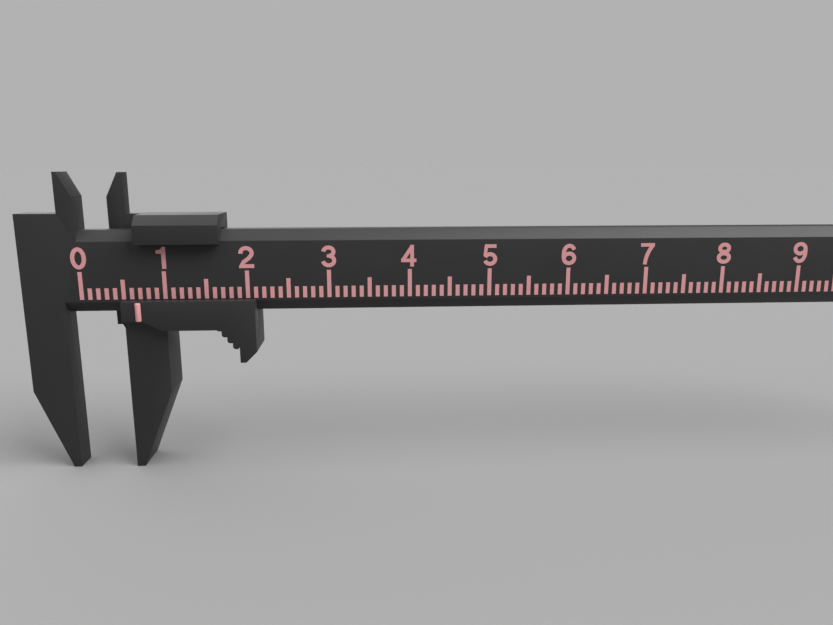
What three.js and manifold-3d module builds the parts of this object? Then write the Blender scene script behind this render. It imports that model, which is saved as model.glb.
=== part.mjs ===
// Plastic slide caliper, 0 to 100 mm, standing on the tips of its two outside jaws.
// Frame in mm: +X runs along the beam away from the fixed head, -Y is the side with the scale, +Z is up.
// The origin is on the measuring face of the fixed outside jaw, in the middle plane of the beam.
import * as THREE from 'three';
import * as BufferGeometryUtils from 'three/addons/utils/BufferGeometryUtils.js';
import Module from 'manifold-3d';

const wasm = await Module();
wasm.setup();

// Driving dimensions of the beam and its fixed head
const BEAM_THICKNESS = 3;
const BEAM_END = 121;
const BEAM_BOTTOM = 10.35;
const BEAM_TOP = 20.4;
const BEVEL_RISE = 1.33;
const BEVEL_DEPTH = 1.18;
const TIP = -9.75;
const TIP_WIDTH = 0.95;
const HEAD_LEFT = -4.97;
const HEAD_TOP = 22.43;
const JAW_SHOULDER = 0.4;
const UPPER_JAW_TOP = 27.34;
const UPPER_JAW_WIDTH = 2.05;
const UPPER_JAW_FLAT = 0.54;
const UPPER_JAW_SHOULDER = 24.43;

// Driving dimensions of the scale: its zero mark lies ZERO_MARK right of the fixed measuring face
const ZERO_MARK = 2.1;
const SCALE_LENGTH = 100;
const MARK_WIDTH = 0.5;
const MARK_BOTTOM = 12;
const SHORT_MARK = 1.4;
const MIDDLE_MARK = 2.43;
const LONG_MARK = 3.42;
const MARK_DEPTH = 0.6;
const MARK_PROUD = 0.03;
const MARK_GAP = 0.04;
const RAIL_DEPTH = 0.24;
const RAIL_LOW = 0.35;
const RAIL_HIGH = 1.05;
const DIGIT_BOTTOM = 15.73;
const DIGIT_HEIGHT = 2.7;
const DIGIT_WIDTH = 1.86;
const DIGIT_STROKE = 0.5;

// Driving dimensions of the slider, at an opening of REST_OPENING
const REST_OPENING = 7.05;
const RUNNING_GAP = 0.12;
const SLIDER_FRONT = -2.9;
const SLIDER_BACK = 3.3;
const JAW_FRONT = -1.77;
const JAW_WIDTH = 5.03;
const JAW_TIP_WIDTH = 1;
const JAW_SLOPE_TOP = 0.25;
const MOVING_TOP = 27.24;
const MOVING_SHOULDER = 24.26;
const MOVING_WIDTH = 2.13;
const MOVING_FLAT = 0.68;
const BACK_LOW = 8.2;
const GUSSET_LEFT = 0.65;
const GUSSET_LOW = 4.6;
const GUSSET_REACH = 0.4;
const BACK_SLOPE_HIGH = 16.5;
const BACK_SLOPE_LOW = 12;
const SHOULDER_DROP = 0.05;
const CLIP_LEFT = 9.15;
const CLIP_RIGHT = 19.08;
const CLIP_TOP = 22.25;
const CLIP_BEVEL = 1.17;
const CLIP_LOW = 18.8;
const CLIP_CORNER = 0.25;
const GRIP_RIGHT = 23.08;
const GRIP_TOP = 11.9;
const GRIP_BOTTOM = 8.26;
const LIP_RISE = 1.16;
const LIP_FLAT = 2.42;
const STEP_COUNT = 4;
const STEP_LEFT = 18.27;
const STEP_FIRST = 0.16;
const STEP_RUN = 0.65;
const STEP_DROP = 0.76;
const STEP_ROUND = 0.3;
const HOOK_LEFT = 21.01;
const HOOK_WIDTH = 0.72;
const HOOK_TIP = 4.09;
const HOOK_SLOPE = 1.33;
const INDEX_OFFSET = 2.05;
const INDEX_WIDTH = 0.68;
const INDEX_LOW = 9.5;
const INDEX_HIGH = 11.78;
const INDEX_PROUD = 0.37;

// Friction strip above the beam, and the stop at the far end of the beam
const STRIP_THICKNESS = 0.2;
const STRIP_LENGTH = 8.4;
const STRIP_WIDTH = 1.6;
const STRIP_BOW = 0.4;
const STRIP_LIFT = 0.05;
const STRIP_Y = 0.6;
const POCKET_DEPTH = 0.63;
const POCKET_SIDE = 0.2;
const POCKET_END = 0.3;
const STOP_LENGTH = 3.4;
const STOP_THICKNESS = 1.8;
const STOP_INSET = 0.4;
const STOP_LEDGE = 1;
const STOP_SEAT = 0.02;
const SCREW_RADIUS = 0.7;
const SCREW_HEAD_RADIUS = 1.15;
const SCREW_HEAD_HEIGHT = 0.7;
const SCREW_LENGTH = 3.1;
const SCREW_INSET = 2.9;
const SCREW_SUNK = 0.05;
const SLOT_DEPTH = 0.3;
const SLOT_WIDTH = 0.3;
const SLOT_LENGTH = 1.7;
const FIT = 0.1;

const BEAM_FRONT = -BEAM_THICKNESS / 2;
const BEAM_BACK = BEAM_THICKNESS / 2;

const black = new THREE.MeshStandardMaterial({ color: 0x333333, roughness: 0.55, metalness: 0 });
const pink = new THREE.MeshStandardMaterial({ color: 0xc98a8d, roughness: 0.55, metalness: 0 });
const steel = new THREE.MeshStandardMaterial({ color: 0x9a9a9c, roughness: 0.35, metalness: 1 });

const caliper = new THREE.Group();

function solid(geometry) {
  const bare = geometry.clone();
  bare.deleteAttribute('normal');
  bare.deleteAttribute('uv');
  const merged = BufferGeometryUtils.mergeVertices(bare, 1e-5);
  const vertProperties = new Float32Array(merged.attributes.position.array);
  const triVerts = new Uint32Array(merged.index.array);
  return new wasm.Manifold(new wasm.Mesh({ numProp: 3, vertProperties, triVerts }));
}

function geometryOf(body) {
  const mesh = body.getMesh();
  const geometry = new THREE.BufferGeometry();
  geometry.setAttribute('position', new THREE.BufferAttribute(mesh.vertProperties, 3));
  geometry.setIndex(new THREE.BufferAttribute(mesh.triVerts, 1));
  geometry.computeVertexNormals();
  return geometry;
}

function add(name, body, material, parent = caliper) {
  const mesh = new THREE.Mesh(geometryOf(body), material);
  mesh.name = name;
  parent.add(mesh);
}

function union(bodies) {
  return bodies.reduce((whole, body) => whole.add(body));
}

// An outline of [x, z] corners, given a thickness from one y to the next
function plate(corners, yFrom, yTo, holes = []) {
  const shape = new THREE.Shape(corners.map(([x, z]) => new THREE.Vector2(x, z)));
  shape.holes = holes.map((hole) => new THREE.Path(hole.map(([x, z]) => new THREE.Vector2(x, z))));
  const geometry = new THREE.ExtrudeGeometry(shape, { depth: yTo - yFrom, bevelEnabled: false });
  geometry.rotateX(Math.PI / 2);
  geometry.translate(0, yTo, 0);
  return solid(geometry);
}

// A section of [y, z] corners, run along the beam from one x to the next
function bar(section, xFrom, xTo) {
  const shape = new THREE.Shape(section.map(([y, z]) => new THREE.Vector2(y, z)));
  const geometry = new THREE.ExtrudeGeometry(shape, { depth: xTo - xFrom, bevelEnabled: false });
  geometry.rotateX(Math.PI / 2);
  geometry.rotateZ(Math.PI / 2);
  geometry.translate(xFrom, 0, 0);
  return solid(geometry);
}

function box(xFrom, xTo, yFrom, yTo, zFrom, zTo) {
  const geometry = new THREE.BoxGeometry(xTo - xFrom, yTo - yFrom, zTo - zFrom);
  geometry.translate((xFrom + xTo) / 2, (yFrom + yTo) / 2, (zFrom + zTo) / 2);
  return solid(geometry);
}

// A round pin whose axis runs along Y
function pin(radius, x, z, yFrom, yTo) {
  const geometry = new THREE.CylinderGeometry(radius, radius, yTo - yFrom, 24);
  geometry.translate(x, (yFrom + yTo) / 2, z);
  return solid(geometry);
}

// Points of an elliptical arc from one angle to the next, in degrees
function arc(x, z, radiusX, radiusZ, from, to, steps) {
  return Array.from({ length: steps + 1 }, (_, i) => {
    const angle = THREE.MathUtils.degToRad(from + ((to - from) * i) / steps);
    return [x + radiusX * Math.cos(angle), z + radiusZ * Math.sin(angle)];
  });
}

// The beam's section grown by a gap on every side
function beamSection(gap) {
  const slope = Math.hypot(BEVEL_RISE, BEVEL_DEPTH);
  const cornerFront = (gap * (slope - BEVEL_DEPTH)) / BEVEL_RISE;
  const cornerEnd = (gap * (slope - BEVEL_RISE)) / BEVEL_DEPTH;
  return [
    [BEAM_FRONT - gap, BEAM_BOTTOM + BEVEL_RISE - cornerFront],
    [BEAM_FRONT + BEVEL_DEPTH - cornerEnd, BEAM_BOTTOM - gap],
    [BEAM_BACK + gap, BEAM_BOTTOM - gap],
    [BEAM_BACK + gap, BEAM_TOP + gap],
    [BEAM_FRONT + BEVEL_DEPTH - cornerEnd, BEAM_TOP + gap],
    [BEAM_FRONT - gap, BEAM_TOP - BEVEL_RISE + cornerFront],
  ];
}

// Scale marks: every centimetre is one comb of ten marks on a rail that runs behind the surface
function markHeight(number) {
  if (number % 10 === 0) return LONG_MARK;
  return number % 5 === 0 ? MIDDLE_MARK : SHORT_MARK;
}

function comb(first, count, grow) {
  const marks = Array.from({ length: count }, (_, i) => {
    const x = ZERO_MARK + first + i;
    const half = MARK_WIDTH / 2 + grow;
    const top = MARK_BOTTOM + markHeight(first + i) + grow;
    return box(x - half, x + half, markFront(grow), markBack(grow), MARK_BOTTOM - grow, top);
  });
  const left = ZERO_MARK + first - MARK_WIDTH / 2 - grow;
  const right = ZERO_MARK + first + count - 1 + MARK_WIDTH / 2 + grow;
  const railFront = BEAM_FRONT + MARK_DEPTH - RAIL_DEPTH - grow;
  const railBottom = MARK_BOTTOM + RAIL_LOW - grow;
  const railTop = MARK_BOTTOM + RAIL_HIGH + grow;
  const rail = box(left, right, railFront, markBack(grow), railBottom, railTop);
  return count > 1 ? union([...marks, rail]) : marks[0];
}

// An inlay stands a little proud of the beam; its pocket is cut past the surface
function markFront(grow) {
  return grow > 0 ? BEAM_FRONT - 1 : BEAM_FRONT - MARK_PROUD;
}

function markBack(grow) {
  return BEAM_FRONT + MARK_DEPTH + grow;
}

// A pen stroke of even width along a row of points, cut square at both ends or closed on itself
function stroke(points, width, closed = false) {
  const last = points.length - 1;
  const sides = points.map(([x, z], i) => {
    const before = closed ? points[(i + last) % (last + 1)] : points[Math.max(i - 1, 0)];
    const after = closed ? points[(i + 1) % (last + 1)] : points[Math.min(i + 1, last)];
    const length = Math.hypot(after[0] - before[0], after[1] - before[1]);
    const normal = [-(after[1] - before[1]) / length, (after[0] - before[0]) / length];
    const half = width / 2;
    return [[x + normal[0] * half, z + normal[1] * half], [x - normal[0] * half, z - normal[1] * half]];
  });
  const left = sides.map((side) => side[0]);
  const right = sides.map((side) => side[1]);
  if (closed) return { corners: right, holes: [left] };
  return { corners: [...right, ...left.reverse()], holes: [] };
}

const ring = (x, z, rx, rz, width) => stroke(arc(x, z, rx, rz, 0, 360, 24).slice(0, -1), width, true);
const outline = (...corners) => ({ corners, holes: [] });

// Bold upright digits, drawn from their bottom centre, as strokes and outlines in millimetres
function digitParts(digit, grow) {
  const w = DIGIT_STROKE + 2 * grow;
  const side = DIGIT_WIDTH / 2 - DIGIT_STROKE / 2;
  const low = DIGIT_STROKE / 2;
  const high = DIGIT_HEIGHT - DIGIT_STROKE / 2;
  const middle = DIGIT_HEIGHT / 2;
  const bowl = 0.86;
  const g = grow;
  const top = DIGIT_HEIGHT + g;
  const parts = {
    0: () => [ring(0, middle, side, high - middle, w)],
    1: () => [
      outline([-0.16 - g, -g], [0.36 + g, -g], [0.36 + g, top], [-0.04 - g, top],
        [-0.2 - g, 2.4 + g], [-0.45, 2.3 + g], [-0.8 - g, 2.27 + g], [-0.8 - g, 1.85 - g],
        [-0.16 - g, 1.85 - g]),
    ],
    2: () => [
      stroke([[-side, 1.76], ...arc(0, 1.83, side, high - 1.83, 174, -20, 14), [0.3, 1.2], [-0.35, 0.74],
        [-0.62, 0.24]], w),
      outline([-0.92 - g, -g], [0.92 + g, -g], [0.92 + g, 0.47 + g], [-0.68, 0.47 + g], [-0.9 - g, 0.3]),
    ],
    3: () => [
      stroke(arc(0, 1.93, 0.62, high - 1.93, 178, -80, 16), w),
      stroke(arc(0, 0.84, side, 0.84 - low, 84, -172, 16), w),
      outline([-0.22 - g, 1.21 - g], [0.2 + g, 1.21 - g], [0.2 + g, 1.6 + g], [-0.22 - g, 1.6 + g]),
    ],
    4: () => [
      outline([0.05 - g, -g], [0.52 + g, -g], [0.52 + g, top], [0.05 - g, top]),
      outline([-1.08 - g, 0.56 - g], [0.82 + g, 0.56 - g], [0.82 + g, 1 + g], [-1.08 - g, 1 + g]),
      stroke([[-0.86, 0.8], [0.26, 2.48]], 0.46 + 2 * g),
    ],
    5: () => [
      outline([-0.64 - g, 2.25 - g], [0.8 + g, 2.25 - g], [0.8 + g, top], [-0.64 - g, top]),
      stroke([[-0.44, 2.66], [-0.6, 1.3]], 0.44 + 2 * g),
      stroke(arc(0.02, bowl, side - 0.02, bowl - low, 158, -160, 18), w),
    ],
    6: () => [
      ring(0.02, bowl, side - 0.02, bowl - low, w),
      stroke([[-side, bowl], ...arc(0.02, 1.5, side + 0.02, high - 1.5, 180, 28, 11)], w),
    ],
    7: () => [
      outline([-0.86 - g, 2.25 - g], [0.92 + g, 2.25 - g], [0.92 + g, top], [-0.86 - g, top]),
      stroke([[0.66, 2.42], [0.3, 1.85], [0.02, 1.25], [-0.16, 0.6], [-0.22, -g]], w),
    ],
    8: () => [
      ring(0, 1.98, 0.58, high - 1.98, w),
      ring(0, 0.79, side, 0.79 - low, w),
    ],
    9: () => [
      ring(-0.02, DIGIT_HEIGHT - bowl, side - 0.02, bowl - low, w),
      stroke([[side, DIGIT_HEIGHT - bowl], ...arc(-0.02, 1.2, side + 0.02, 1.2 - low, 0, -152, 11)], w),
    ],
  };
  return parts[digit]();
}

function digit(number, x, grow) {
  const pieces = digitParts(number, grow).map(({ corners, holes }) =>
    plate(corners, markFront(grow), markBack(grow), holes));
  return union(pieces).translate([x, 0, DIGIT_BOTTOM]);
}

// Names and places of all the digits: one per centimetre, and two side by side at 10
const digits = Array.from({ length: 10 }, (_, i) => (
  { name: `numeral_${i}`, value: i, x: ZERO_MARK + 10 * i }));
digits.push({ name: 'numeral_10_ones', value: 0, x: ZERO_MARK + SCALE_LENGTH + 1.1 });
digits.push({ name: 'numeral_10_tens', value: 1, x: ZERO_MARK + SCALE_LENGTH - 0.75 });

// Names and places of all the combs: ten per centimetre and the closing mark at 100 mm
const combs = Array.from({ length: 10 }, (_, i) => (
  { name: `scale_marks_cm_${i}`, first: 10 * i, count: 10 }));
combs.push({ name: 'scale_mark_cm_10', first: SCALE_LENGTH, count: 1 });

// Stop screws, one above the other in the middle of the stop
const stopLeft = BEAM_END - STOP_LENGTH - STOP_INSET;
const screwX = stopLeft + STOP_LENGTH / 2;
const screwHeights = [BEAM_BOTTOM + SCREW_INSET, BEAM_TOP - SCREW_INSET];
const stopBack = BEAM_BACK + STOP_THICKNESS;
const screwTip = stopBack - SCREW_LENGTH;

// Beam with the fixed head, both fixed jaws, the pockets of the scale and the stop's screw holes
function beam() {
  const insideBeam = (BEAM_BOTTOM + BEAM_TOP) / 2;
  const head = plate([
    [HEAD_LEFT, JAW_SHOULDER], [-TIP_WIDTH, TIP], [0, TIP], [0, insideBeam], [UPPER_JAW_WIDTH, insideBeam],
    [UPPER_JAW_WIDTH, UPPER_JAW_SHOULDER], [UPPER_JAW_FLAT, UPPER_JAW_TOP], [0, UPPER_JAW_TOP], [0, HEAD_TOP],
    [HEAD_LEFT, HEAD_TOP],
  ], BEAM_FRONT, BEAM_BACK);
  const bodies = [head, bar(beamSection(0), -1, BEAM_END)];
  const pockets = [
    ...combs.map(({ first, count }) => comb(first, count, MARK_GAP)),
    ...digits.map(({ value, x }) => digit(value, x, MARK_GAP)),
    ...screwHeights.map((z) => pin(SCREW_RADIUS + FIT, screwX, z, screwTip - FIT, BEAM_BACK + 1)),
  ];
  return union(bodies).subtract(union(pockets));
}

add('beam_and_fixed_jaws', beam(), black);
combs.forEach(({ name, first, count }) => add(name, comb(first, count, 0), pink));
digits.forEach(({ name, value, x }) => add(name, digit(value, x, 0), pink));

// End stop: a small plate on the back of the beam, held by two sunk screws
function endStop() {
  const body = box(stopLeft, stopLeft + STOP_LENGTH, BEAM_BACK + STOP_SEAT, stopBack,
    BEAM_BOTTOM + STOP_LEDGE, BEAM_TOP - STOP_LEDGE);
  const holes = screwHeights.flatMap((z) => [
    pin(SCREW_RADIUS + FIT, screwX, z, BEAM_BACK - 1, stopBack + 1),
    pin(SCREW_HEAD_RADIUS + FIT, screwX, z, stopBack - SCREW_HEAD_HEIGHT - FIT, stopBack + 1),
  ]);
  return body.subtract(union(holes));
}

function stopScrew(z) {
  const face = stopBack - SCREW_SUNK;
  const head = pin(SCREW_HEAD_RADIUS, screwX, z, stopBack - SCREW_HEAD_HEIGHT, face);
  const shank = pin(SCREW_RADIUS, screwX, z, screwTip, face - SLOT_DEPTH);
  const slot = box(screwX - SLOT_LENGTH / 2, screwX + SLOT_LENGTH / 2, face - SLOT_DEPTH, face + 1,
    z - SLOT_WIDTH / 2, z + SLOT_WIDTH / 2);
  return head.add(shank).subtract(slot);
}

add('end_stop', endStop(), black);
screwHeights.forEach((z, i) => add(`end_stop_screw_${i + 1}`, stopScrew(z), steel));

// Slider: back plate with both moving jaws, lower grip with the thumb steps, and the clip over the top
const slide = REST_OPENING;
const indexX = slide + INDEX_OFFSET;
const stripX = (CLIP_LEFT + CLIP_RIGHT) / 2;

function backPlate() {
  const left = slide - MOVING_WIDTH;
  const shoulder = CLIP_TOP - SHOULDER_DROP;
  const insideJaw = slide + JAW_WIDTH - 1;
  const insideGrip = GRIP_BOTTOM + 0.5;
  return plate([
    [left, BACK_LOW], [left + GUSSET_LEFT, BACK_LOW], [slide + GUSSET_REACH, GUSSET_LOW],
    [insideJaw, GUSSET_LOW], [insideJaw, insideGrip], [GRIP_RIGHT, insideGrip],
    [GRIP_RIGHT, BACK_SLOPE_LOW], [CLIP_RIGHT, BACK_SLOPE_HIGH], [CLIP_RIGHT, shoulder],
    [slide, shoulder], [slide, MOVING_TOP], [slide - MOVING_FLAT, MOVING_TOP], [left, MOVING_SHOULDER],
  ], BEAM_BACK + RUNNING_GAP, SLIDER_BACK);
}

function movingJaw() {
  return plate([
    [slide, TIP], [slide + JAW_TIP_WIDTH, TIP], [slide + JAW_WIDTH, JAW_SLOPE_TOP],
    [slide + JAW_WIDTH, BEAM_BOTTOM], [slide, BEAM_BOTTOM],
  ], JAW_FRONT, SLIDER_BACK);
}

// Each thumb step drops straight down, turns a small round corner and runs level to the next one; the
// last one turns up again where it meets the hook
function thumbSteps() {
  return Array.from({ length: STEP_COUNT }, (_, i) => {
    const x = STEP_LEFT + STEP_RUN * i;
    const z = GRIP_BOTTOM - STEP_FIRST - STEP_DROP * i;
    const corner = arc(x + STEP_ROUND, z + STEP_ROUND, STEP_ROUND, STEP_ROUND, 180, 270, 4);
    if (i < STEP_COUNT - 1) return [...corner, [x + STEP_RUN, z]];
    const rise = STEP_ROUND * (1 - Math.SQRT1_2);
    return [...corner, [HOOK_LEFT - STEP_ROUND, z], [HOOK_LEFT, z + rise]];
  }).flat();
}

function gripOutline() {
  const lip = GRIP_BOTTOM + LIP_RISE;
  return [
    [slide, GRIP_TOP], [slide, lip], [slide + LIP_FLAT, lip], [slide + 2 * LIP_FLAT, GRIP_BOTTOM],
    [STEP_LEFT, GRIP_BOTTOM], ...thumbSteps(), [HOOK_LEFT, HOOK_TIP], [HOOK_LEFT + HOOK_WIDTH, HOOK_TIP],
    [GRIP_RIGHT, HOOK_TIP + HOOK_SLOPE], [GRIP_RIGHT, GRIP_TOP],
  ];
}

function clip() {
  const section = [
    [SLIDER_FRONT, CLIP_LOW], [0, CLIP_LOW], [SLIDER_BACK, CLIP_LOW], [SLIDER_BACK, CLIP_TOP],
    [SLIDER_FRONT + CLIP_BEVEL, CLIP_TOP], [SLIDER_FRONT, CLIP_TOP - CLIP_BEVEL],
  ];
  const corners = [[CLIP_LEFT, 1], [CLIP_RIGHT, -1]].map(([x, way]) => plate([
    [x - way * CLIP_CORNER, CLIP_LOW], [x, CLIP_LOW - CLIP_CORNER],
    [x + way * CLIP_CORNER, CLIP_LOW], [x, CLIP_LOW + CLIP_CORNER],
  ], SLIDER_FRONT - 1, BEAM_FRONT));
  return bar(section, CLIP_LEFT, CLIP_RIGHT).subtract(union(corners));
}

function stripPocket() {
  const halfLength = STRIP_LENGTH / 2 + POCKET_END;
  const halfWidth = STRIP_WIDTH / 2 + POCKET_SIDE;
  return box(stripX - halfLength, stripX + halfLength, STRIP_Y - halfWidth, STRIP_Y + halfWidth,
    BEAM_TOP, BEAM_TOP + RUNNING_GAP + POCKET_DEPTH);
}

function slider() {
  const grip = plate(gripOutline(), SLIDER_FRONT, SLIDER_BACK);
  const whole = union([backPlate(), movingJaw(), grip, clip()]);
  const channel = bar(beamSection(RUNNING_GAP), -10, 40);
  const mouth = box(-10, 40, SLIDER_FRONT - 1, BEAM_FRONT - RUNNING_GAP, GRIP_TOP, CLIP_LOW);
  return whole.subtract(channel).subtract(mouth).subtract(stripPocket());
}

add('slider_body', slider(), black);

// Index bar: a rounded bar standing on the front of the slider
function indexBar() {
  const half = INDEX_WIDTH / 2;
  const back = SLIDER_FRONT - 0.01;
  const section = [
    [indexX + half, back], ...arc(indexX, back, half, INDEX_PROUD, 0, -180, 12).slice(1, -1),
    [indexX - half, back],
  ];
  const shape = new THREE.Shape(section.map(([x, y]) => new THREE.Vector2(x, y)));
  const geometry = new THREE.ExtrudeGeometry(shape, { depth: INDEX_HIGH - INDEX_LOW, bevelEnabled: false });
  geometry.translate(0, 0, INDEX_LOW);
  return solid(geometry);
}

add('index_bar', indexBar(), pink);

// Friction strip: a bowed spring strip between the clip and the top of the beam
function frictionStrip() {
  const half = STRIP_LENGTH / 2;
  const radius = (half * half + STRIP_BOW * STRIP_BOW) / (2 * STRIP_BOW);
  const centre = BEAM_TOP + STRIP_LIFT + radius;
  const spread = THREE.MathUtils.radToDeg(Math.asin(half / radius));
  const lower = arc(stripX, centre, radius, radius, -90 - spread, -90 + spread, 12);
  const inner = radius - STRIP_THICKNESS;
  const upper = arc(stripX, centre, inner, inner, -90 + spread, -90 - spread, 12);
  return plate([...lower, ...upper], STRIP_Y - STRIP_WIDTH / 2, STRIP_Y + STRIP_WIDTH / 2);
}

add('slider_friction_strip', frictionStrip(), steel);

export default caliper;
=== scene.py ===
# Plastic slide caliper, opened a little over 7 mm and standing on the tips of its two outside jaws.
# All sizes are in metres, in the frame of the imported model: +X along the beam, -Y the side with the scale.
import math

import bpy
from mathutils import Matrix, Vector


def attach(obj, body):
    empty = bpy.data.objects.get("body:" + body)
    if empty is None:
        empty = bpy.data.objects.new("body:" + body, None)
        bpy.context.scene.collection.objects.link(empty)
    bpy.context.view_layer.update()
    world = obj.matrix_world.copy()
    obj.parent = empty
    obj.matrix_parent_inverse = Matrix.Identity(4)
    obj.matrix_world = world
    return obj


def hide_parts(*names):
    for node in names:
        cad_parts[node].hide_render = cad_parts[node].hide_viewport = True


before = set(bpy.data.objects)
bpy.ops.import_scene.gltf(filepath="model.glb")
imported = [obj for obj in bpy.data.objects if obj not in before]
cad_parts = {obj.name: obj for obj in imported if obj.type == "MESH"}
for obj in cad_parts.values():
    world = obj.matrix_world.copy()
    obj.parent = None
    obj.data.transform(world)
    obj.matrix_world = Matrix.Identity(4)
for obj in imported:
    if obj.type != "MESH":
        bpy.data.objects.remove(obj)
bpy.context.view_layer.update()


# ---- Beam with the fixed head -------------------------------------------------------------------
# The real beam, its head and both fixed jaws are one flat moulding of satin black plastic, 3 mm thick,
# with a bevel along the top and the bottom of its front. It is built as blocks cut to their slopes,
# joined, and given the small round edges a mould leaves.
MM = 0.001
BEAM_FRONT, BEAM_BACK = -1.5 * MM, 1.5 * MM
BEAM_START, BEAM_END = -1 * MM, 121 * MM
BEAM_BOTTOM, BEAM_TOP = 10.35 * MM, 20.4 * MM
BEVEL_RISE, BEVEL_DEPTH = 1.33 * MM, 1.18 * MM
HEAD_LEFT, HEAD_TOP = -4.97 * MM, 22.43 * MM
JAW_TIP, JAW_TIP_LEFT, JAW_SLOPE_TOP = -9.75 * MM, -0.95 * MM, 0.4 * MM
INSIDE_JAW_RIGHT, INSIDE_JAW_TIP_RIGHT = 2.05 * MM, 0.54 * MM
INSIDE_JAW_ROOT, INSIDE_JAW_SHOULDER, INSIDE_JAW_TOP = 15 * MM, 24.43 * MM, 27.34 * MM
EDGE_RADIUS = 0.05 * MM
SHARP_EDGE, SMOOTH_EDGE = math.radians(20), math.radians(35)
WELD_REACH, SAME_FACE = 0.002 * MM, math.radians(0.5)
NEAR = 1e-7
GRAIN_HEIGHT = 0.02 * MM


def add_block(low, high):
    """Adds a cube primitive at its size and place, between two corners."""
    bpy.ops.object.select_all(action="DESELECT")
    middle = [(a + b) / 2 for a, b in zip(low, high)]
    bpy.ops.mesh.primitive_cube_add(size=1, location=middle, scale=[b - a for a, b in zip(low, high)])
    bpy.ops.object.transform_apply(location=True, rotation=True, scale=True)
    block = bpy.context.object
    for corner in block.data.vertices:
        corner.co = [b if value > m else a for value, m, a, b in zip(corner.co, middle, low, high)]
    return block


def slope_off(piece, start, end, plane="XZ"):
    """Cuts off what lies right of the line from start to end, drawn in one plane, and closes the cut."""
    along = Vector((end[0] - start[0], end[1] - start[1]))
    right = Vector((along.y, -along.x)).normalized()
    if plane == "XZ":
        point, normal = (start[0], 0, start[1]), (right.x, 0, right.y)
    else:
        point, normal = (0, start[0], start[1]), (0, right.x, right.y)
    bpy.context.view_layer.objects.active = piece
    bpy.ops.object.mode_set(mode="EDIT")
    bpy.ops.mesh.select_all(action="SELECT")
    bpy.ops.mesh.bisect(plane_co=point, plane_no=normal, use_fill=True, clear_outer=True, threshold=NEAR)
    bpy.ops.object.mode_set(mode="OBJECT")


def combine(piece, others, operation="UNION"):
    """Joins other blocks to a piece, or cuts them out of it, one after the other."""
    for other in others:
        bpy.context.view_layer.objects.active = piece
        step = piece.modifiers.new("combine", "BOOLEAN")
        step.operation, step.object, step.solver = operation, other, "MANIFOLD"
        bpy.ops.object.modifier_apply(modifier=step.name)
        bpy.data.objects.remove(other)


def clean(piece):
    """Welds the seams that joining leaves and makes each flat face one face again."""
    bpy.context.view_layer.objects.active = piece
    bpy.ops.object.mode_set(mode="EDIT")
    bpy.ops.mesh.select_all(action="SELECT")
    bpy.ops.mesh.remove_doubles(threshold=WELD_REACH)
    bpy.ops.mesh.dissolve_limited(angle_limit=SAME_FACE)
    bpy.ops.object.mode_set(mode="OBJECT")


def round_edges(piece, radius, steps=3):
    """Gives all sharp edges of a piece a small radius, and smooth shading between its flat faces."""
    bpy.ops.object.select_all(action="DESELECT")
    piece.select_set(True)
    bpy.context.view_layer.objects.active = piece
    edges = piece.modifiers.new("edges", "BEVEL")
    edges.width, edges.segments = radius, steps
    edges.limit_method, edges.angle_limit = "ANGLE", SHARP_EDGE
    edges.miter_outer = "MITER_ARC"
    edges.use_clamp_overlap = True
    bpy.ops.object.modifier_apply(modifier=edges.name)
    bpy.ops.object.shade_smooth_by_angle(angle=SMOOTH_EDGE)


def beam_section(low_x, high_x, gap=0.0):
    """A bar with the beam's section, grown by a gap on every side."""
    bar = add_block((low_x, BEAM_FRONT - gap, BEAM_BOTTOM - gap), (high_x, BEAM_BACK + gap, BEAM_TOP + gap))
    slope = math.hypot(BEVEL_RISE, BEVEL_DEPTH)
    reach_front = gap * (slope - BEVEL_DEPTH) / BEVEL_RISE
    reach_end = gap * (slope - BEVEL_RISE) / BEVEL_DEPTH
    front, inner = BEAM_FRONT - gap, BEAM_FRONT + BEVEL_DEPTH - reach_end
    slope_off(bar, (inner, BEAM_TOP + gap), (front, BEAM_TOP - BEVEL_RISE + reach_front), "YZ")
    slope_off(bar, (front, BEAM_BOTTOM + BEVEL_RISE - reach_front), (inner, BEAM_BOTTOM - gap), "YZ")
    return bar


beam = beam_section(BEAM_START, BEAM_END)
beam.name = "beam_moulding"
head = add_block((HEAD_LEFT, BEAM_FRONT, JAW_TIP), (0, BEAM_BACK, HEAD_TOP))
slope_off(head, (HEAD_LEFT, JAW_SLOPE_TOP), (JAW_TIP_LEFT, JAW_TIP))
inside_jaw = add_block((0, BEAM_FRONT, INSIDE_JAW_ROOT), (INSIDE_JAW_RIGHT, BEAM_BACK, INSIDE_JAW_TOP))
slope_off(inside_jaw, (INSIDE_JAW_RIGHT, INSIDE_JAW_SHOULDER), (INSIDE_JAW_TIP_RIGHT, INSIDE_JAW_TOP))
combine(beam, [head, inside_jaw])
clean(beam)
round_edges(beam, EDGE_RADIUS)


def new_group(name, inputs, outputs):
    """An empty shader node group with named inputs and outputs: (name, kind, default)."""
    group = bpy.data.node_groups.new(name, "ShaderNodeTree")
    for label, kind, default in inputs:
        socket = group.interface.new_socket(name=label, in_out="INPUT", socket_type=kind)
        if default is not None:
            socket.default_value = default
    for label, kind in outputs:
        group.interface.new_socket(name=label, in_out="OUTPUT", socket_type=kind)
    return group, group.nodes.new("NodeGroupInput"), group.nodes.new("NodeGroupOutput")


def noise(tree, scale, detail=2.0, roughness=0.5):
    """A noise texture on the object's own coordinates."""
    place = tree.nodes.new("ShaderNodeTexCoord")
    texture = tree.nodes.new("ShaderNodeTexNoise")
    texture.inputs["Scale"].default_value = scale
    texture.inputs["Detail"].default_value = detail
    texture.inputs["Roughness"].default_value = roughness
    tree.links.new(place.outputs["Object"], texture.inputs["Vector"])
    return texture


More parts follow.
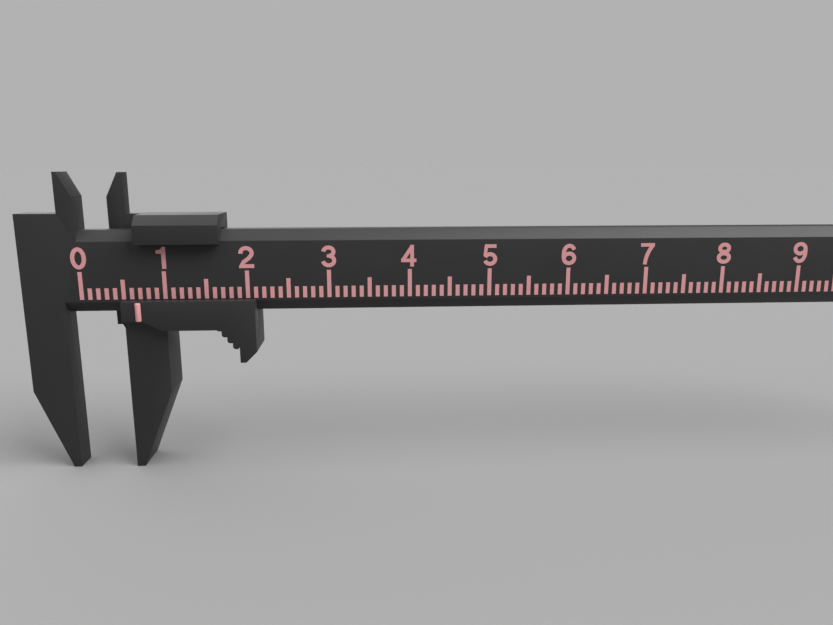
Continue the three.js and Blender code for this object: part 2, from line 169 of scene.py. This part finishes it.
def remap(tree, value, low, high):
    """Spreads a 0 to 1 value between two numbers or input sockets."""
    node = tree.nodes.new("ShaderNodeMapRange")
    tree.links.new(value, node.inputs["Value"])
    for label, bound in (("To Min", low), ("To Max", high)):
        if isinstance(bound, (int, float)):
            node.inputs[label].default_value = bound
        else:
            tree.links.new(bound, node.inputs[label])
    return node.outputs["Result"]


# Moulded skin: the mould's spark-worn surface gives the plastic a tiny grain and speckle, and handling
# leaves faint broad patches of gloss. The shade follows the mean of the patches and the speckle.
moulded, moulded_in, moulded_out = new_group(
    "moulded_skin",
    [("Colour", "NodeSocketColor", None), ("Shade Low", "NodeSocketFloat", 0.9),
     ("Shade High", "NodeSocketFloat", 1.1), ("Gloss Low", "NodeSocketFloat", 0.4),
     ("Gloss High", "NodeSocketFloat", 0.5), ("Grain", "NodeSocketFloat", 0.1)],
    [("Colour", "NodeSocketColor"), ("Roughness", "NodeSocketFloat"), ("Normal", "NodeSocketVector")],
)
patches = noise(moulded, scale=260, detail=3, roughness=0.55)
speckle = noise(moulded, scale=9000, detail=2, roughness=0.6)
grain = noise(moulded, scale=16000, detail=3, roughness=0.65)
shade = moulded.nodes.new("ShaderNodeMix")
shade.data_type, shade.blend_type = "RGBA", "MULTIPLY"
shade.inputs["Factor"].default_value = 1
mean = moulded.nodes.new("ShaderNodeMath")
mean.operation = "MULTIPLY_ADD"
mean.inputs[1].default_value = 0.5
half = moulded.nodes.new("ShaderNodeMath")
half.operation = "MULTIPLY"
half.inputs[1].default_value = 0.5
moulded.links.new(patches.outputs["Fac"], half.inputs[0])
moulded.links.new(speckle.outputs["Fac"], mean.inputs[0])
moulded.links.new(half.outputs[0], mean.inputs[2])
level = remap(moulded, mean.outputs[0], moulded_in.outputs["Shade Low"], moulded_in.outputs["Shade High"])
moulded.links.new(moulded_in.outputs["Colour"], shade.inputs["A"])
moulded.links.new(level, shade.inputs["B"])
moulded.links.new(shade.outputs["Result"], moulded_out.inputs["Colour"])
gloss = remap(moulded, patches.outputs["Fac"],
              moulded_in.outputs["Gloss Low"], moulded_in.outputs["Gloss High"])
moulded.links.new(gloss, moulded_out.inputs["Roughness"])
bump = moulded.nodes.new("ShaderNodeBump")
bump.inputs["Distance"].default_value = GRAIN_HEIGHT
moulded.links.new(moulded_in.outputs["Grain"], bump.inputs["Strength"])
moulded.links.new(grain.outputs["Fac"], bump.inputs["Height"])
moulded.links.new(bump.outputs["Normal"], moulded_out.inputs["Normal"])


def connect_skin(tree, skin):
    """Feeds a skin group's colour, roughness and normal to the material's shader, and returns the shader."""
    shader = tree.nodes["Principled BSDF"]
    for output, entry in (("Colour", "Base Color"), ("Roughness", "Roughness"), ("Normal", "Normal")):
        tree.links.new(skin.outputs[output], shader.inputs[entry])
    return shader


def moulded_plastic(name, colour, shade_range, gloss_range, grain_depth, specular):
    """A plastic material on the moulded skin group."""
    material = bpy.data.materials.new(name)
    material.use_nodes = True
    tree = material.node_tree
    skin = tree.nodes.new("ShaderNodeGroup")
    skin.node_tree = moulded
    skin.inputs["Colour"].default_value = (*colour, 1)
    skin.inputs["Shade Low"].default_value, skin.inputs["Shade High"].default_value = shade_range
    skin.inputs["Gloss Low"].default_value, skin.inputs["Gloss High"].default_value = gloss_range
    skin.inputs["Grain"].default_value = grain_depth
    connect_skin(tree, skin).inputs["Specular IOR Level"].default_value = specular
    return material


def paint(piece, material):
    """Gives a piece one material all over."""
    piece.data.materials.clear()
    piece.data.materials.append(material)


black_plastic = moulded_plastic("satin_black_plastic", colour=(0.0256, 0.0256, 0.0258),
                                shade_range=(0.85, 1.15), gloss_range=(0.42, 0.5), grain_depth=0.1,
                                specular=0.23)
paint(beam, black_plastic)

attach(beam, "beam")
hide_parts("beam_and_fixed_jaws")


# ---- Pink inlays --------------------------------------------------------------------------------
# The marks and numerals are a second shot of pink plastic that fills pockets in the beam, a few
# hundredths of a millimetre proud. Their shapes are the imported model's own.
pink_plastic = moulded_plastic("pink_inlay_plastic", colour=(0.6, 0.275, 0.285), shade_range=(0.93, 1.07),
                               gloss_range=(0.45, 0.55), grain_depth=0.08, specular=0.4)
for name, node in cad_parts.items():
    if name.startswith(("scale_mark", "numeral")):
        paint(node, pink_plastic)


# ---- Slider -------------------------------------------------------------------------------------
# One moulding of the same black plastic: a back plate with both moving jaws, a grip under the beam
# with a stepped hollow for the thumb, and a clip that reaches over the top of the beam. The beam runs
# through it in a channel with about an eighth of a millimetre of air on every side.
OPENING = 7.05 * MM
GAP = 0.12 * MM
SLIDER_FRONT, SLIDER_BACK = -2.9 * MM, 3.3 * MM
MOVING_JAW_FRONT, MOVING_JAW_RIGHT = -1.77 * MM, 12.08 * MM
MOVING_TIP_RIGHT, MOVING_SLOPE_TOP = 8.05 * MM, 0.25 * MM
PLATE_FRONT, PLATE_LEFT = BEAM_BACK + GAP, 4.92 * MM
PLATE_BOTTOM, PLATE_TOP = 8.76 * MM, 22.2 * MM
SHOULDER_LOW, SHOULDER_HIGH = 12 * MM, 16.5 * MM
LEDGE_BOTTOM, LEDGE_RIGHT = 8.2 * MM, 8 * MM
FOOT_LEFT, FOOT_RIGHT, FOOT_BOTTOM = 5.2 * MM, 11.08 * MM, 4.6 * MM
FOOT_SLOPE_LEFT, FOOT_SLOPE_RIGHT = 5.57 * MM, 7.45 * MM
INTO_PLATE = 9 * MM
UPPER_JAW_SHOULDER, UPPER_JAW_TOP, UPPER_JAW_TIP_LEFT = 24.26 * MM, 27.24 * MM, 6.37 * MM
GRIP_LEFT, GRIP_RIGHT = OPENING, 23.08 * MM
GRIP_BOTTOM, GRIP_TOP = 8.26 * MM, 11.9 * MM
LIP_BOTTOM, LIP_LEVEL_END, LIP_SLOPE_END, LIP_RIGHT = 9.42 * MM, 9.47 * MM, 11.89 * MM, 12 * MM
HOOK_LEFT, HOOK_TIP, HOOK_TIP_RIGHT, HOOK_HEEL = 21.01 * MM, 4.09 * MM, 21.73 * MM, 5.42 * MM
STEP_COUNT, STEP_RUN, STEP_DROP, STEP_ROUND = 4, 0.65 * MM, 0.76 * MM, 0.35 * MM
STEP_LEFT, STEP_HIGH, STEP_WIDTH, STEP_TOP = 18.25 * MM, 8.12 * MM, 1.5 * MM, 11 * MM
INTO_HOOK, AT_CORNER = 0.02 * MM, 0.1 * MM
CLIP_LEFT, CLIP_RIGHT = 9.15 * MM, 19.08 * MM
CLIP_LOW, CLIP_TOP = 18.8 * MM, 22.25 * MM
CLIP_BEVEL_LOW, CLIP_BEVEL_BACK = 21.08 * MM, -1.73 * MM
CHANNEL_LEFT, CHANNEL_RIGHT = 0, 40 * MM
HOLLOW_LEFT, HOLLOW_RIGHT, HOLLOW_TOP = 9.6 * MM, 18.6 * MM, 21.15 * MM
HOLLOW_FRONT, HOLLOW_BACK = -0.4 * MM, 1.6 * MM

# Moving outside jaw, sloped on its right down to a 1 mm tip
slider = add_block((OPENING, MOVING_JAW_FRONT, JAW_TIP), (MOVING_JAW_RIGHT, SLIDER_BACK, BEAM_BOTTOM))
slider.name = "slider_moulding"
slope_off(slider, (MOVING_TIP_RIGHT, JAW_TIP), (MOVING_JAW_RIGHT, MOVING_SLOPE_TOP))

# Back plate behind the beam, its sloped right shoulder, and the ledge and foot that brace the jaw
plate = add_block((PLATE_LEFT, PLATE_FRONT, PLATE_BOTTOM), (CLIP_RIGHT, SLIDER_BACK, PLATE_TOP))
shoulder = add_block((CLIP_RIGHT - 1 * MM, PLATE_FRONT, PLATE_BOTTOM),
                     (GRIP_RIGHT, SLIDER_BACK, SHOULDER_HIGH))
slope_off(shoulder, (GRIP_RIGHT, SHOULDER_LOW), (CLIP_RIGHT, SHOULDER_HIGH))
ledge = add_block((PLATE_LEFT, PLATE_FRONT, LEDGE_BOTTOM), (LEDGE_RIGHT, SLIDER_BACK, INTO_PLATE))
foot = add_block((FOOT_LEFT, PLATE_FRONT, FOOT_BOTTOM), (FOOT_RIGHT, SLIDER_BACK, INTO_PLATE))
slope_off(foot, (FOOT_SLOPE_LEFT, LEDGE_BOTTOM), (FOOT_SLOPE_RIGHT, FOOT_BOTTOM))

# Moving inside jaw, which points up from the back plate
upper_jaw = add_block((PLATE_LEFT, PLATE_FRONT, INTO_PLATE), (OPENING, SLIDER_BACK, UPPER_JAW_TOP))
slope_off(upper_jaw, (UPPER_JAW_TIP_LEFT, UPPER_JAW_TOP), (PLATE_LEFT, UPPER_JAW_SHOULDER))
combine(slider, [plate, shoulder, ledge, foot, upper_jaw])

# Grip under the beam: a high lip at the left, sloping down to the full depth, then the hook
lip = add_block((GRIP_LEFT, SLIDER_FRONT, LIP_BOTTOM), (LIP_RIGHT, SLIDER_BACK, GRIP_TOP))
grip = add_block((LIP_LEVEL_END, SLIDER_FRONT, GRIP_BOTTOM), (GRIP_RIGHT, SLIDER_BACK, GRIP_TOP))
slope_off(grip, (LIP_LEVEL_END, LIP_BOTTOM), (LIP_SLOPE_END, GRIP_BOTTOM))
hook = add_block((HOOK_LEFT, SLIDER_FRONT, HOOK_TIP), (GRIP_RIGHT, SLIDER_BACK, GRIP_TOP))
slope_off(hook, (HOOK_TIP_RIGHT, HOOK_TIP), (GRIP_RIGHT, HOOK_HEEL))
combine(slider, [lip, grip, hook])


def select_edges(piece, wanted):
    """Selects the edges both of whose ends pass a test, and leaves the piece in edit mode."""
    bpy.ops.object.select_all(action="DESELECT")
    piece.select_set(True)
    bpy.context.view_layer.objects.active = piece
    bpy.ops.object.mode_set(mode="EDIT")
    bpy.ops.mesh.select_mode(type="EDGE")
    bpy.ops.mesh.select_all(action="DESELECT")
    bpy.ops.object.mode_set(mode="OBJECT")
    for edge in piece.data.edges:
        edge.select = all(wanted(piece.data.vertices[i].co) for i in edge.vertices)
    bpy.ops.object.mode_set(mode="EDIT")


# Thumb steps, each one further right and lower. Their lower corners are rounded, and the last one turns
# up again where it meets the hook.
for i in range(STEP_COUNT):
    last = i == STEP_COUNT - 1
    left, low = STEP_LEFT + STEP_RUN * i, STEP_HIGH - STEP_DROP * i
    right = HOOK_LEFT + INTO_HOOK if last else left + STEP_WIDTH
    step = add_block((left, SLIDER_FRONT, low), (right, SLIDER_BACK, STEP_TOP))
    for side in (left, right) if last else (left,):
        select_edges(step, lambda co: abs(co.x - side) < AT_CORNER and co.z < low + AT_CORNER)
        bpy.ops.mesh.bevel(offset=STEP_ROUND, segments=6)
        bpy.ops.object.mode_set(mode="OBJECT")
    combine(slider, [step])

# Clip over the top of the beam, bevelled along its upper front edge
clip = add_block((CLIP_LEFT, SLIDER_FRONT, CLIP_LOW), (CLIP_RIGHT, SLIDER_BACK, CLIP_TOP))
slope_off(clip, (CLIP_BEVEL_BACK, CLIP_TOP), (SLIDER_FRONT, CLIP_BEVEL_LOW), "YZ")
combine(slider, [clip])

# Channel for the beam, and the hollow above it for the friction strip
channel = beam_section(CHANNEL_LEFT, CHANNEL_RIGHT, GAP)
hollow = add_block((HOLLOW_LEFT, HOLLOW_FRONT, BEAM_TOP), (HOLLOW_RIGHT, HOLLOW_BACK, HOLLOW_TOP))
combine(slider, [channel, hollow], "DIFFERENCE")
clean(slider)
round_edges(slider, EDGE_RADIUS)
paint(slider, black_plastic)

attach(slider, "slider")
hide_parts("slider_body")


# ---- Index bar ----------------------------------------------------------------------------------
# A short half-round bar of the same pink plastic on the front of the slider, 2.05 mm right of its
# measuring face: the scale is read above it. Its foot is sunk a little into the black moulding.
INDEX_X = OPENING + 2.05 * MM
INDEX_HALF, INDEX_PROUD, INDEX_SUNK = 0.34 * MM, 0.37 * MM, 0.05 * MM
INDEX_LOW, INDEX_HIGH = 9.5 * MM, 11.78 * MM
INDEX_FOOT = SLIDER_FRONT - 0.01 * MM
INDEX_TOP_ROUND, INDEX_BOTTOM_ROUND = 0.16 * MM, 0.1 * MM
INDEX_SMOOTH = math.radians(50)


def add_rod(radius, low_end, high_end, axis="Z", sides=48):
    """Adds a cylinder primitive between the middles of its two ends, which lie along Y or Z."""
    bpy.ops.object.select_all(action="DESELECT")
    middle = [(a + b) / 2 for a, b in zip(low_end, high_end)]
    turn = (math.radians(90), 0, 0) if axis == "Y" else (0, 0, 0)
    bpy.ops.mesh.primitive_cylinder_add(vertices=sides, radius=radius, depth=math.dist(low_end, high_end),
                                        location=middle, rotation=turn)
    bpy.ops.object.transform_apply(location=True, rotation=True, scale=True)
    return bpy.context.object


index_bar = add_rod(INDEX_HALF, (INDEX_X, 0, INDEX_LOW), (INDEX_X, 0, INDEX_HIGH))
index_bar.name = "index_bar_rounded"
select_edges(index_bar, lambda co: co.z > INDEX_HIGH - AT_CORNER)
bpy.ops.mesh.bevel(offset=INDEX_TOP_ROUND, segments=5)
bpy.ops.object.mode_set(mode="OBJECT")
select_edges(index_bar, lambda co: co.z < INDEX_LOW + AT_CORNER)
bpy.ops.mesh.bevel(offset=INDEX_BOTTOM_ROUND, segments=4)
bpy.ops.mesh.select_all(action="SELECT")
bpy.ops.transform.resize(value=(1, INDEX_PROUD / INDEX_HALF, 1), center_override=(0, 0, 0))
bpy.ops.transform.translate(value=(0, INDEX_FOOT, 0))
bpy.ops.mesh.bisect(plane_co=(0, SLIDER_FRONT + INDEX_SUNK, 0), plane_no=(0, 1, 0), use_fill=True,
                    clear_outer=True, threshold=NEAR)
bpy.ops.object.mode_set(mode="OBJECT")
bpy.ops.object.shade_smooth_by_angle(angle=INDEX_SMOOTH)
paint(index_bar, pink_plastic)

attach(index_bar, "slider")
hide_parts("index_bar")


# ---- End stop -----------------------------------------------------------------------------------
# A small black plate screwed to the back of the beam near its free end, so that the slider can't run
# off. Its two holes are stepped to take the screw heads below its surface.
STOP_LEFT, STOP_RIGHT = 117.2 * MM, 120.6 * MM
STOP_FRONT, STOP_BACK = 1.52 * MM, 3.3 * MM
STOP_BOTTOM, STOP_TOP, STOP_ROUND = 11.35 * MM, 19.4 * MM, 0.12 * MM
SCREW_X = (STOP_LEFT + STOP_RIGHT) / 2
SCREW_HEIGHTS = (13.25 * MM, 17.5 * MM)
HEAD_RADIUS, HEAD_HEIGHT, SHANK_RADIUS, FIT = 1.15 * MM, 0.7 * MM, 0.7 * MM, 0.1 * MM
BEYOND_STOP = 4 * MM

end_stop = add_block((STOP_LEFT, STOP_FRONT, STOP_BOTTOM), (STOP_RIGHT, STOP_BACK, STOP_TOP))
end_stop.name = "end_stop_plate"
for z in SCREW_HEIGHTS:
    bore = add_rod(SHANK_RADIUS + FIT, (SCREW_X, 0, z), (SCREW_X, BEYOND_STOP, z), "Y")
    seat_floor = STOP_BACK - HEAD_HEIGHT - FIT
    seat = add_rod(HEAD_RADIUS + FIT, (SCREW_X, seat_floor, z), (SCREW_X, BEYOND_STOP, z), "Y")
    combine(end_stop, [bore, seat], "DIFFERENCE")
clean(end_stop)
round_edges(end_stop, STOP_ROUND)
paint(end_stop, black_plastic)

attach(end_stop, "beam")
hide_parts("end_stop")


# ---- Stop screws and friction strip -------------------------------------------------------------
# Two slotted steel screws, turned from bar, hold the stop. A bowed strip of spring steel lies hidden
# between the clip and the top of the beam and gives the slide its drag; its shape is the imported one.
SLOT_DEPTH, SLOT_WIDTH, SLOT_HALF_LENGTH = 0.3 * MM, 0.3 * MM, 1.3 * MM
SCREW_FACE, SCREW_TIP, SCREW_ROUND = STOP_BACK - 0.05 * MM, 0.2 * MM, 0.05 * MM
TOOL_MARK_HEIGHT = 0.01 * MM

turned, turned_in, turned_out = new_group(
    "turned_metal",
    [("Dark", "NodeSocketColor", (0.42, 0.42, 0.43, 1)), ("Light", "NodeSocketColor", (0.6, 0.6, 0.61, 1)),
     ("Gloss Low", "NodeSocketFloat", 0.25), ("Gloss High", "NodeSocketFloat", 0.42),
     ("Grain", "NodeSocketFloat", 0.2)],
    [("Colour", "NodeSocketColor"), ("Roughness", "NodeSocketFloat"), ("Normal", "NodeSocketVector")],
)
stain = noise(turned, scale=900, detail=4, roughness=0.6)
scratch = noise(turned, scale=7000, detail=2, roughness=0.7)
tint = turned.nodes.new("ShaderNodeMix")
tint.data_type = "RGBA"
turned.links.new(stain.outputs["Fac"], tint.inputs["Factor"])
turned.links.new(turned_in.outputs["Dark"], tint.inputs["A"])
turned.links.new(turned_in.outputs["Light"], tint.inputs["B"])
turned.links.new(tint.outputs["Result"], turned_out.inputs["Colour"])
polish = remap(turned, scratch.outputs["Fac"],
               turned_in.outputs["Gloss Low"], turned_in.outputs["Gloss High"])
turned.links.new(polish, turned_out.inputs["Roughness"])
ripple = turned.nodes.new("ShaderNodeBump")
ripple.inputs["Distance"].default_value = TOOL_MARK_HEIGHT
turned.links.new(turned_in.outputs["Grain"], ripple.inputs["Strength"])
turned.links.new(scratch.outputs["Fac"], ripple.inputs["Height"])
turned.links.new(ripple.outputs["Normal"], turned_out.inputs["Normal"])


def metal(name, dark, light):
    """A bare metal material on the turned metal group."""
    material = bpy.data.materials.new(name)
    material.use_nodes = True
    tree = material.node_tree
    skin = tree.nodes.new("ShaderNodeGroup")
    skin.node_tree = turned
    skin.inputs["Dark"].default_value = (*dark, 1)
    skin.inputs["Light"].default_value = (*light, 1)
    connect_skin(tree, skin).inputs["Metallic"].default_value = 1
    return material


screw_steel = metal("turned_screw_steel", dark=(0.4, 0.4, 0.41), light=(0.62, 0.62, 0.63))
spring_steel = metal("rolled_spring_steel", dark=(0.48, 0.48, 0.5), light=(0.66, 0.66, 0.68))
paint(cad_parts["slider_friction_strip"], spring_steel)

for number, z in enumerate(SCREW_HEIGHTS, 1):
    screw = add_rod(HEAD_RADIUS, (SCREW_X, STOP_BACK - HEAD_HEIGHT, z), (SCREW_X, SCREW_FACE, z), "Y")
    screw.name = f"stop_screw_{number}"
    shank = add_rod(SHANK_RADIUS, (SCREW_X, SCREW_TIP, z), (SCREW_X, SCREW_FACE - SLOT_DEPTH, z), "Y")
    combine(screw, [shank])
    slot = add_block((SCREW_X - SLOT_HALF_LENGTH, SCREW_FACE - SLOT_DEPTH, z - SLOT_WIDTH / 2),
                     (SCREW_X + SLOT_HALF_LENGTH, BEYOND_STOP, z + SLOT_WIDTH / 2))
    combine(screw, [slot], "DIFFERENCE")
    clean(screw)
    round_edges(screw, SCREW_ROUND, 2)
    paint(screw, screw_steel)
    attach(screw, "beam")
    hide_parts(f"end_stop_screw_{number}")


# ---- Camera, floor and light --------------------------------------------------------------------
# The caliper is seen from a little above the beam, near its left third, through a moderate wide lens.
# It stands on a wide matt sheet of light grey board.
CAMERA_PLACE = (37.78 * MM, -87.73 * MM, 28.28 * MM)
CAMERA_TILT, CAMERA_ROLL, CAMERA_TURN = math.radians(90 - 12.02), math.radians(0.024), math.radians(-3.424)
CAMERA_LENS, SENSOR_WIDTH = 30.3, 36
FLOOR_RADIUS, BOARD_GREY = 6, (0.23, 0.23, 0.23, 1)

bpy.ops.object.camera_add(location=CAMERA_PLACE, rotation=(CAMERA_TILT, CAMERA_ROLL, CAMERA_TURN))
camera = bpy.context.object
camera.name = "camera"
camera.data.lens, camera.data.sensor_width = CAMERA_LENS, SENSOR_WIDTH
camera.data.clip_start, camera.data.clip_end = 0.005, 20
bpy.context.scene.camera = camera

bpy.ops.mesh.primitive_circle_add(vertices=96, radius=FLOOR_RADIUS, fill_type="NGON",
                                  location=(0, 0, JAW_TIP))
floor = bpy.context.object
floor.name = "floor"
bpy.ops.object.transform_apply(location=True, rotation=True, scale=True)
board = bpy.data.materials.new("grey_board")
board.use_nodes = True
matt = board.node_tree.nodes["Principled BSDF"]
matt.inputs["Base Color"].default_value = BOARD_GREY
matt.inputs["Roughness"].default_value = 1
matt.inputs["Specular IOR Level"].default_value = 0
paint(floor, board)

# Light: a pale tent over the left side, brightest overhead and behind, and a large soft lamp at the
# upper right. The camera sees a plain grey backdrop in place of the tent.
BACKDROP = 0.4453
ROOF_LEFT, ROOF_RIGHT = 2.07, 0.03
WALL_FRONT_LEFT, WALL_BACK_LEFT, WALL_RIGHT = 0.8, 2.2, 0.1
LOW_BACK_LEFT, LOW_ELSEWHERE = 1, 0.13
LAMP_FROM, LAMP_STRENGTH, LAMP_SPREAD = (0.62, -0.31, 0.72), 4.5, math.radians(50)

world = bpy.data.worlds.new("studio")
bpy.context.scene.world = world
world.use_nodes = True
sky = world.node_tree
sky.nodes.clear()
direction = sky.nodes.new("ShaderNodeTexCoord")
axes = sky.nodes.new("ShaderNodeSeparateXYZ")
sky.links.new(direction.outputs["Generated"], axes.inputs[0])


def fade(axis, start, end):
    """Goes smoothly from 0 to 1 between two places along one axis of the direction looked in."""
    node = sky.nodes.new("ShaderNodeMapRange")
    node.interpolation_type = "SMOOTHSTEP"
    sky.links.new(axes.outputs[axis], node.inputs["Value"])
    node.inputs["From Min"].default_value, node.inputs["From Max"].default_value = start, end
    return node.outputs["Result"]


def between(factor, first, second):
    """A brightness between two others, each a number or the result of another mix."""
    node = sky.nodes.new("ShaderNodeMix")
    sky.links.new(factor, node.inputs["Factor"])
    for label, level in (("A", first), ("B", second)):
        if isinstance(level, (int, float)):
            node.inputs[label].default_value = level
        else:
            sky.links.new(level, node.inputs[label])
    return node.outputs["Result"]


broad_right, broad_back = fade("X", -0.4, 0.4), fade("Y", -0.4, 0.4)
roof = between(broad_right, ROOF_LEFT, ROOF_RIGHT)
wall = between(broad_right, between(broad_back, WALL_FRONT_LEFT, WALL_BACK_LEFT), WALL_RIGHT)
low_back = between(fade("X", -0.42, 0), LOW_BACK_LEFT, LOW_ELSEWHERE)
low = between(fade("Y", 0.2, 0.7), LOW_ELSEWHERE, low_back)
tent = between(fade("Z", 0.5, 0.8), between(fade("Z", 0.1, 0.35), low, wall), roof)
path = sky.nodes.new("ShaderNodeLightPath")
glow = sky.nodes.new("ShaderNodeBackground")
sky.links.new(between(path.outputs["Is Camera Ray"], tent, BACKDROP), glow.inputs["Strength"])
glow.inputs["Color"].default_value = (1, 1, 1, 1)
target = sky.nodes.new("ShaderNodeOutputWorld")
sky.links.new(glow.outputs[0], target.inputs["Surface"])

bpy.ops.object.light_add(type="SUN")
lamp = bpy.context.object
lamp.name = "soft_lamp"
lamp.rotation_euler = Vector(LAMP_FROM).to_track_quat("Z", "Y").to_euler()
lamp.data.energy, lamp.data.angle = LAMP_STRENGTH, LAMP_SPREAD

bpy.context.scene.view_settings.view_transform = "Standard"
